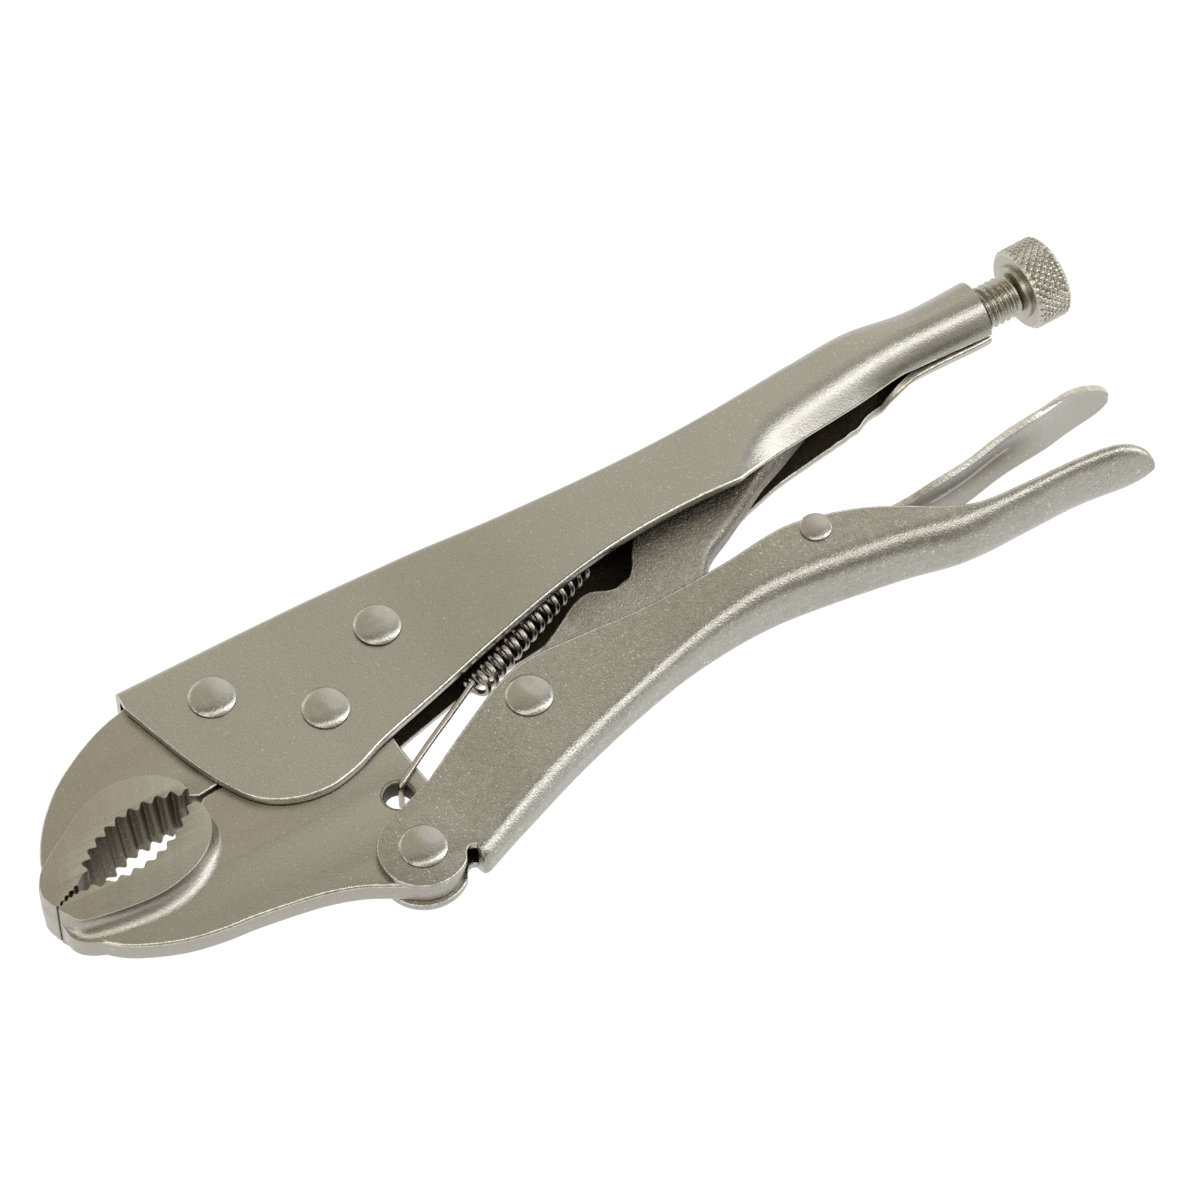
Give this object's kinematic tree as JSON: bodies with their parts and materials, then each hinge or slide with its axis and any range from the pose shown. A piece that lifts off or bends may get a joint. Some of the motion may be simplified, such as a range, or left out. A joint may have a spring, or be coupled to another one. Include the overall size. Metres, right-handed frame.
{
  "type": "locking pliers",
  "caption": "Locking pliers with curved toothed jaws, pressed channel handles, an over-centre toggle link, a release lever, a return spring and a knurled adjusting screw.",
  "frame": {"origin": "centre of the box in X and Y, at the lowest point in Z, with the pliers lying on their side", "axes": "+X from the jaws towards the handles' tails and the adjusting screw, +Y from the lower handle towards the upper handle, +Z across the tool, along every hinge axis"},
  "size_m": [0.2482, 0.0774, 0.0178],
  "materials": {
    "plated_sheet": "satin nickel plate on pressed sheet steel",
    "plated_jaw": "satin nickel plate on forged steel, sides ground",
    "rivet_steel": "bright plated steel, low domed heads",
    "link_steel": "satin plate on pressed sheet steel, a little darker",
    "screw_steel": "plated steel, cut thread and knurled head",
    "spring_steel": "drawn spring wire, darker than the rest"
  },
  "bodies": {
    "upper_handle": {"upper_handle": "plated_sheet", "fixed_jaw": "plated_jaw", "fixed_jaw_front_rivet": "rivet_steel", "fixed_jaw_rear_rivet": "rivet_steel", "jaw_pivot_rivet": "rivet_steel", "return_spring": "spring_steel"},
    "movable_jaw": {"movable_jaw": "plated_jaw"},
    "lower_handle": {"lower_handle": "plated_sheet", "lower_handle_pivot_rivet": "rivet_steel", "toggle_link_rivet": "rivet_steel", "release_lever_rivet": "rivet_steel"},
    "toggle_link": {"toggle_link": "link_steel"},
    "release_lever": {"release_lever": "plated_sheet"},
    "adjusting_screw": {"adjusting_screw": "screw_steel"}
  },
  "joints": [
    {"name": "jaw_hinge", "type": "hinge", "parent": "upper_handle", "child": "movable_jaw", "pos_m": [-0.05637, 0.00687, 0.0089], "axis": [0, 0, 1], "range_deg": [0, 22], "deforming": ["return_spring"]},
    {"name": "handle_hinge", "type": "hinge", "parent": "movable_jaw", "child": "lower_handle", "pos_m": [-0.05477, -0.02983, 0.0089], "axis": [0, 0, 1], "range_deg": [-73, 0]},
    {"name": "link_hinge", "type": "hinge", "parent": "lower_handle", "child": "toggle_link", "pos_m": [-0.02077, -0.01033, 0.0089], "axis": [0, 0, 1], "range_deg": [0, 72]},
    {"name": "release_hinge", "type": "hinge", "parent": "lower_handle", "child": "release_lever", "pos_m": [0.04693, -0.00523, 0.0089], "axis": [0, 0, 1], "range_deg": [-8, 0]},
    {"name": "screw_slide", "type": "slide", "parent": "upper_handle", "child": "adjusting_screw", "axis": [0.9984, 0.0558, 0], "range_m": [0, 0.022]}
  ],
  "couplings": [
    {"joint": "handle_hinge", "follows": "jaw_hinge", "ratio": -3.3},
    {"joint": "link_hinge", "follows": "jaw_hinge", "ratio": 3.25}
  ]
}
